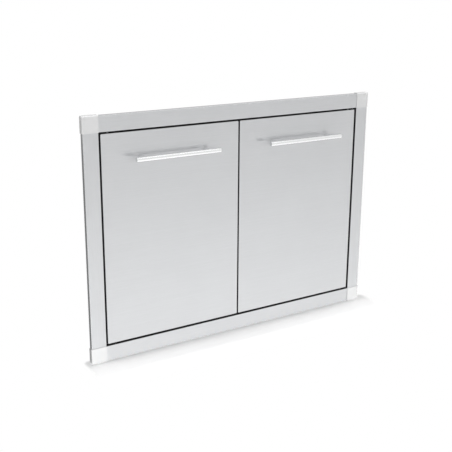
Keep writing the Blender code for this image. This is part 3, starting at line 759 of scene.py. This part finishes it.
def screw_head(spot, axis, radius, turn=0.0):
    """A pan head with a cross recess, standing on a spot.

    Its height over the place (r, a) is that of a turned profile less the depth of a cross,
    which falls off linearly from the middle of each arm.
    """
    rise, arm, width = radius * 0.55, radius * 0.62, radius * 0.15
    lip = np.linspace(0.02, 0.92, 26)[::-1] * radius

    def cross(r, angle, height):
        u, v = np.abs(r * np.cos(angle + turn)), np.abs(r * np.sin(angle + turn))
        one = np.minimum(width - v, (arm - u) * 0.6)
        other = np.minimum(width - u, (arm - v) * 0.6)
        depth = np.clip(np.maximum(one, other), 0, width) / width * rise * 0.62
        return np.where(height > rise * 0.6, height - depth, height)

    dome = [(r, rise - (r / radius) ** 2 * rise * 0.24, 0) for r in lip]
    corners = [(0, 0, 0), (radius, 0, 0), (radius, rise * 0.42, 0.0), *dome, (0, rise, 0)]
    return turned(corners, spot, axis, sides=64, shape=cross)


def blind_rivet(spot, axis, radius):
    """The domed head of a blind rivet, with the small sunk end of its mandrel."""
    rise = radius * 0.36
    corners = [
        (0, 0, 0), (radius, 0, 0), (radius, rise * 0.25, 0.1 * MM), (radius * 0.8, rise * 0.8, radius * 0.1),
        (radius * 0.42, rise, 0.05 * MM), (radius * 0.36, rise * 0.45, 0.05 * MM),
        (radius * 0.2, rise * 0.5, 0.05 * MM), (0, rise * 0.5, 0),
    ]
    return turned(corners, spot, axis, sides=40)


def weld_bead(start, end, radius, pitch):
    """A seam weld: a rod whose radius ripples, r = R (1 + 0.1 sin(2 pi s / pitch)), with round ends."""
    start, end = np.asarray(start, float), np.asarray(end, float)
    length = np.linalg.norm(end - start)
    s = np.linspace(0, length, int(length / pitch * 8) + 1)
    radii = radius * (1 + 0.1 * np.sin(2 * np.pi * s / pitch))
    taper = np.clip(np.minimum(s, length - s) / radius, 0.02, 1)
    radii = radii * np.sqrt(1 - (1 - taper) ** 2)
    path = start + (end - start) * (s / length)[:, None]
    side = np.tile(across_axis((end - start) / length)[0], (len(s), 1))
    return swept(path, radii, side, sides=16)


# Operators

class DOORSET_OT_handles(bpy.types.Operator):
    """Turn the round bars of the handles and cope their posts to them"""

    bl_idname = "doorset.handles"
    bl_label = "Handles"

    def execute(self, context):
        sizes, looks = context.scene.doorset_sizes, context.scene.doorset_finish
        bright = polished_steel("polished_bars", looks.handles, 0)
        stems = polished_steel("polished_posts", looks.handles, 1)
        for side in SIDES:
            bar = f"{side}_handle_bar"
            body = f"{side}_door"
            shells = [pull_bar(bar, sizes.bar_rounding)]
            add_piece(f"{side}_pull_bar", shells, bright, body, [bar])
            for place in ("outer", "inner"):
                post = f"{side}_handle_post_{place}"
                shells = [pull_post(post, bar, sizes.post_fillet)]
                add_piece(f"{side}_pull_post_{place}", shells, stems, body, [post])
        return {"FINISHED"}


class DOORSET_OT_pivots(bpy.types.Operator):
    """Turn the pins and bushes that the doors swing on, and wind the springs"""

    bl_idname = "doorset.pivots"
    bl_label = "Pivots"

    def execute(self, context):
        looks = context.scene.doorset_finish
        zinc = zinc_plate("zinc_pins", looks.zinc)
        wire = drawn_wire("spring_wire", looks.wire)
        nylon = moulded_nylon("nylon_bushes", looks.nylon)
        for side in SIDES:
            for end, up in ENDS.items():
                node = f"{side}_pivot_bush_{end}"
                add_piece(
                    f"{side}_flanged_bush_{end}", [flanged_bush(node, up)], nylon,
                    "frame", [node],
                )
            node = f"{side}_pivot_pin_bottom"
            add_piece(
                f"{side}_shouldered_pin", [shouldered_pin(node)], zinc,
                f"{side}_door", [node],
            )
            node = f"{side}_pivot_pin_top"
            add_piece(
                f"{side}_sprung_pin", [sprung_pin(node)], zinc,
                f"{side}_top_pin", [node],
            )
            node = f"{side}_pivot_spring"
            coil = add_piece(
                f"{side}_coil", [wound_spring(node)], wire, f"{side}_door", [node]
            )
            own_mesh(coil)
        return {"FINISHED"}


class DOORSET_OT_fixings(bpy.types.Operator):
    """Set the buffers, screws and rivets of the stops, catches, strikes and blocks"""

    bl_idname = "doorset.fixings"
    bl_label = "Buffers and Fixings"

    def execute(self, context):
        sizes, looks = context.scene.doorset_sizes, context.scene.doorset_finish
        rubber = matt_rubber("rubber_buffers", looks.rubber)
        zinc = zinc_plate("zinc_fixings", looks.zinc)
        rivet_steel = mill_steel("rivet_steel", looks.mill, 1)
        leg_back = span("stop_top")[0][1] + STOP_SHEET
        for side in SIDES:
            hand, door = HAND[side], f"{side}_door"
            node = f"{side}_bumper"
            add_piece(f"{side}_buffer", [rubber_buffer(node)], rubber, "frame", [node])
            low, high = span(f"{side}_catch_housing")
            level = (low[2] + high[2]) / 2
            screws = [
                screw_head((x, leg_back, level), (0, 1, 0), sizes.screw_head, turn)
                for x, turn in ((low[0] + FIXING_IN, 0.4), (high[0] - FIXING_IN, 1.1))
            ]
            add_piece(f"{side}_catch_screws", screws, zinc, "frame")
            low, high = span(f"{side}_strike_plate")
            level = (low[2] + high[2]) / 2
            rivets = [
                blind_rivet((x, high[1], level), (0, 1, 0), sizes.strike_rivet)
                for x in (low[0] + FIXING_IN, high[0] - FIXING_IN)
            ]
            add_piece(f"{side}_strike_rivets", rivets, rivet_steel, door)
            back = span(f"{side}_door_liner")[1][1]
            rivets = []
            for end in ENDS:
                low, high = span(f"{side}_pivot_block_{end}")
                middle = (low + high) / 2
                inward = middle[0] - hand * BLOCK_RIVET_IN
                for z in (low[2] + BLOCK_RIVET_UP, high[2] - BLOCK_RIVET_UP):
                    rivets.append(blind_rivet((inward, back, z), (0, 1, 0), sizes.rivet_head))
            add_piece(f"{side}_block_rivets", rivets, rivet_steel, door)
        for end, up in ENDS.items():
            low, high = span(f"stop_{end}")
            foot = low[2] if up < 0 else high[2]
            surface = foot - up * STOP_SHEET
            rivets = [
                blind_rivet((x, (leg_back + high[1]) / 2, surface), (0, 0, -up), sizes.rivet_head)
                for x in np.linspace(low[0] + STOP_RIVET_IN, high[0] - STOP_RIVET_IN, STOP_RIVETS)
            ]
            add_piece(f"stop_rivets_{end}", rivets, rivet_steel, "frame")
        return {"FINISHED"}


class DOORSET_OT_welds(bpy.types.Operator):
    """Run the seam welds along the corners of the sleeve"""

    bl_idname = "doorset.welds"
    bl_label = "Seam Welds"

    def execute(self, context):
        sizes, looks = context.scene.doorset_sizes, context.scene.doorset_finish
        bead_steel = polished_steel("weld_bead", looks.mill, 1)
        beads = []
        low, high = span("sleeve_top")
        side_low, side_high = span("sleeve_left")
        inset = sizes.bead * 0.3
        for across in (-1, 1):
            for up in (-1, 1):
                corner_x, corner_z = across * (-side_low[0] - inset), up * (high[2] - inset)
                start, end = (corner_x, 1.0 * MM, corner_z), (corner_x, high[1] - 2.0 * MM, corner_z)
                beads.append(weld_bead(start, end, sizes.bead, sizes.ripple))
        add_piece("sleeve_welds", beads, bead_steel, "frame")
        return {"FINISHED"}


class DOORSET_OT_finishes(bpy.types.Operator):
    """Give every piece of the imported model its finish"""

    bl_idname = "doorset.finishes"
    bl_label = "Finish the Packed Pieces"

    def execute(self, context):
        looks = context.scene.doorset_finish
        rails = {"top_rail": 0, "bottom_rail": 0, "left_stile": 2, "right_stile": 2}
        for rail, along in rails.items():
            made = brushed_steel(
                f"brushed_{rail}", looks.sheet, looks.grain, along, span(rail), RAIL_GAP_PAINTED_SHADE
            )
            dress([rail], made)
        caps = [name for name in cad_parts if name.startswith("corner_cap")]
        dress(caps, satin_steel("satin_caps", looks.caps))
        plain = {
            "sleeve_top": 0, "sleeve_bottom": 0, "sleeve_left": 2, "sleeve_right": 2,
            "stop_top": 0, "stop_bottom": 0,
        }
        for node, along in plain.items():
            dress([node], mill_steel(f"mill_{node}", looks.mill, along))
        zinc = zinc_plate("zinc", looks.zinc)
        wire = drawn_wire("spring_wire", looks.wire)
        rubber = matt_rubber("rubber", looks.rubber)
        nylon = moulded_nylon("nylon", looks.nylon)
        ferrite = sintered_ferrite("ferrite", looks.ferrite)
        bright = polished_steel("polished_handles", looks.handles, 0)
        liner = mill_steel("mill_liner", looks.mill, 0)
        seals = [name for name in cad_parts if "seal" in name or "bumper" in name]
        dress(seals, rubber)
        for side in SIDES:
            panel = f"{side}_door_panel"
            made = brushed_steel(
                f"brushed_{panel}", looks.sheet, looks.grain, 0, span(panel), DOOR_GAP_PAINTED_SHADE
            )
            dress([panel], made)
            dress([f"{side}_door_liner"], liner)
            dress([f"{side}_handle_bar", f"{side}_handle_post_outer", f"{side}_handle_post_inner"], bright)
            dress([f"{side}_pivot_bush_top", f"{side}_pivot_bush_bottom", f"{side}_catch_housing"], nylon)
            dress([f"{side}_catch_magnet"], ferrite)
            dress([f"{side}_pivot_spring"], wire)
            dress(
                [f"{side}_{piece}" for piece in (
                    "strike_plate", "pivot_block_top", "pivot_block_bottom", "pivot_pin_top",
                    "pivot_pin_bottom", "handle_screw_outer", "handle_screw_inner",
                )],
                zinc,
            )
        return {"FINISHED"}


class DOORSET_OT_studio(bpy.types.Operator):
    """Set up the floor, the soft light and the camera"""

    bl_idname = "doorset.studio"
    bl_label = "Studio"

    def execute(self, context):
        studio = context.scene.doorset_studio
        self.camera(context, studio)
        self.floor(studio)
        self.world(context, studio)
        for name, box in SOFT_BOXES.items():
            self.lamp(name, getattr(studio, name), *box)
        level = CAD_BOX[0][2] + MM
        (left, near), (right, far) = CARD
        card = [(left, near, level), (right, near, level), (right, far, level), (left, far, level)]
        left, right, top = WALL
        wall = [
            (left, WALL_BACK, level), (right, WALL_BACK, level),
            (right, WALL_BACK, top), (left, WALL_BACK, top),
        ]
        # Painted reflections, darker than the white around them
        self.painted_reflection_grey("grey_card", card, studio.card)
        self.painted_reflection_grey("grey_wall", wall, studio.wall)
        context.scene.view_settings.view_transform = "Standard"
        return {"FINISHED"}

    @staticmethod
    def camera(context, studio):
        """A camera aimed by heading, tilt and roll."""
        made = bpy.data.objects.new("camera", bpy.data.cameras.new("camera"))
        made.data.lens = studio.lens
        made.data.sensor_width = 36
        turn = Euler((math.radians(90) - studio.tilt, 0, studio.heading))
        made.rotation_euler = (turn.to_matrix() @ Euler((0, 0, studio.roll)).to_matrix()).to_euler()
        made.location = studio.place
        context.scene.collection.objects.link(made)
        context.scene.camera = made

    @staticmethod
    def floor(studio):
        """A wide floor at the object's lowest point: lit paper near it, plain white far off.

        Mirrored rays see a painted glow instead, a painted reflection fitted to the photograph: dimmer
        than plain white far away, and brighter than plain white round a middle point near the door.
        """
        level = CAD_BOX[0][2]
        corners = [
            (x * FLOOR_REACH, y * FLOOR_REACH, level) for x, y in ((-1, -1), (1, -1), (1, 1), (-1, 1))
        ]
        mesh = bpy.data.meshes.new("floor")
        mesh.from_pydata(corners, [], [(0, 1, 2, 3)])
        made = bpy.data.objects.new("floor", mesh)
        bpy.context.scene.collection.objects.link(made)
        finish = Finish("paper_floor")
        fibre = finish.noise((900,) * 3, 3)
        tone = finish.blend(fibre, shade(studio.floor, 0.985), studio.floor)
        paper = finish.node("BsdfDiffuse", sockets={"Color": tone})
        away = beyond_foot(finish)
        seen, mirrored = background_rays(finish)
        middle = (*studio.painted_pool_place, level)
        ratio = finish.node(
            "VectorMath", {"operation": "DISTANCE"}, {0: finish.where(), 1: middle}, output="Value"
        ) / studio.painted_pool_reach
        # Painted reflection: a glowing patch of floor that only mirrored rays see, brighter than plain white
        # round its middle
        pool = finish.maths("DIVIDE", studio.pool, 1 + ratio * ratio)
        glow = 1 + mirrored * (pool - (1 - studio.far_painted_glow))
        white = finish.node("Emission", sockets={"Color": glow, "Strength": 1.0})
        plain = finish.ease(away, studio.paper_edge * PAPER_START, studio.paper_edge)
        share = finish.maths("MAXIMUM", seen * plain, mirrored)
        finish.show(finish.node("MixShader", sockets={0: share, 1: paper, 2: white}))
        mesh.materials.append(finish.owner)

    @staticmethod
    def world(context, studio):
        """Even light from all round, seen as plain white."""
        made = bpy.data.worlds.new("studio")
        context.scene.world = made
        finish = Finish("studio", made)
        seen, _ = background_rays(finish)
        strength = seen * (1 - studio.sky) + studio.sky
        finish.show(finish.node("Background", sockets={"Color": (1, 1, 1, 1), "Strength": strength}))

    @staticmethod
    def painted_reflection_grey(name, corners, grey):
        """A flat glowing grey piece that only the metal shows: a painted reflection, which the camera
        doesn't see and which casts no shadow and lights nothing.
        """
        mesh = bpy.data.meshes.new(name)
        mesh.from_pydata(corners, [], [(0, 1, 2, 3)])
        made = bpy.data.objects.new(name, mesh)
        bpy.context.scene.collection.objects.link(made)
        made.visible_camera = made.visible_diffuse = made.visible_shadow = False
        finish = Finish(name)
        tone = finish.blend(finish.noise((40,) * 3, 3), (grey * 0.96,) * 3, (grey * 1.04,) * 3)
        finish.show(finish.node("Emission", sockets={"Color": tone, "Strength": 1.0}))
        mesh.materials.append(finish.owner)

    @staticmethod
    def lamp(name, power, size, place, aim, mirrored):
        """A rectangular soft box aimed at a point, which the metal mirrors or not."""
        data = bpy.data.lights.new(name, "AREA")
        data.shape = "RECTANGLE"
        data.size, data.size_y = size
        data.energy = power
        made = bpy.data.objects.new(name, data)
        made.location = place
        towards = made.location.copy()
        towards.x, towards.y, towards.z = (a - b for a, b in zip(aim, place))
        made.rotation_euler = towards.to_track_quat("-Z", "Y").to_euler()
        made.visible_camera = False
        made.visible_glossy = mirrored
        bpy.context.scene.collection.objects.link(made)


def background_rays(finish):
    """1 for the rays that see a background and 0 for those that carry light.

    The first value counts camera, glossy and transmission rays, the second only the last two.
    """
    camera, glossy, through = (
        finish.node("LightPath", output=f"Is {kind} Ray") for kind in ("Camera", "Glossy", "Transmission")
    )
    mirrored = finish.maths("MAXIMUM", glossy, through)
    return finish.maths("MAXIMUM", camera, mirrored), mirrored


def beyond_foot(finish):
    """Distance on the floor from the flange's foot, growing faster past its ends and behind it."""
    low, high = CAD_BOX
    x, y = finish.axis(0), finish.axis(1)
    across = finish.maths("MAXIMUM", (low[0] - x) * PAST_LEFT, (x - high[0]) * PAST_RIGHT)
    depth = finish.maths("MAXIMUM", low[1] - y, y * BEHIND)
    across, depth = (finish.maths("MAXIMUM", value, 0.0) for value in (across, depth))
    return finish.maths("SQRT", across * across + depth * depth)


class DOORSET_PT_panel(bpy.types.Panel):
    """Buttons and settings for the access door"""

    bl_idname = "DOORSET_PT_panel"
    bl_label = "Access Door"
    bl_space_type = "VIEW_3D"
    bl_region_type = "UI"
    bl_category = "Access Door"

    def draw(self, context):
        for kind in OPERATORS:
            self.layout.operator(kind.bl_idname)
        scene = context.scene
        for group in (scene.doorset_sizes, scene.doorset_finish, scene.doorset_studio):
            box = self.layout.box()
            for key in group.__annotations__:
                box.prop(group, key)


OPERATORS = (
    DOORSET_OT_finishes, DOORSET_OT_handles, DOORSET_OT_pivots, DOORSET_OT_fixings, DOORSET_OT_welds,
    DOORSET_OT_studio,
)
CLASSES = (FinishSettings, SizeSettings, StudioSettings, *OPERATORS, DOORSET_PT_panel)


def register():
    """Make the classes and settings known."""
    for kind in CLASSES:
        bpy.utils.register_class(kind)
    bpy.types.Scene.doorset_finish = bpy.props.PointerProperty(type=FinishSettings)
    bpy.types.Scene.doorset_sizes = bpy.props.PointerProperty(type=SizeSettings)
    bpy.types.Scene.doorset_studio = bpy.props.PointerProperty(type=StudioSettings)


def unregister():
    """Take them away again."""
    del bpy.types.Scene.doorset_finish
    del bpy.types.Scene.doorset_sizes
    del bpy.types.Scene.doorset_studio
    for kind in reversed(CLASSES):
        bpy.utils.unregister_class(kind)


def main():
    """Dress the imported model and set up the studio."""
    register()
    bpy.ops.doorset.finishes()
    bpy.ops.doorset.handles()
    bpy.ops.doorset.pivots()
    bpy.ops.doorset.fixings()
    bpy.ops.doorset.welds()
    bpy.ops.doorset.studio()


if __name__ == "__main__":
    main()
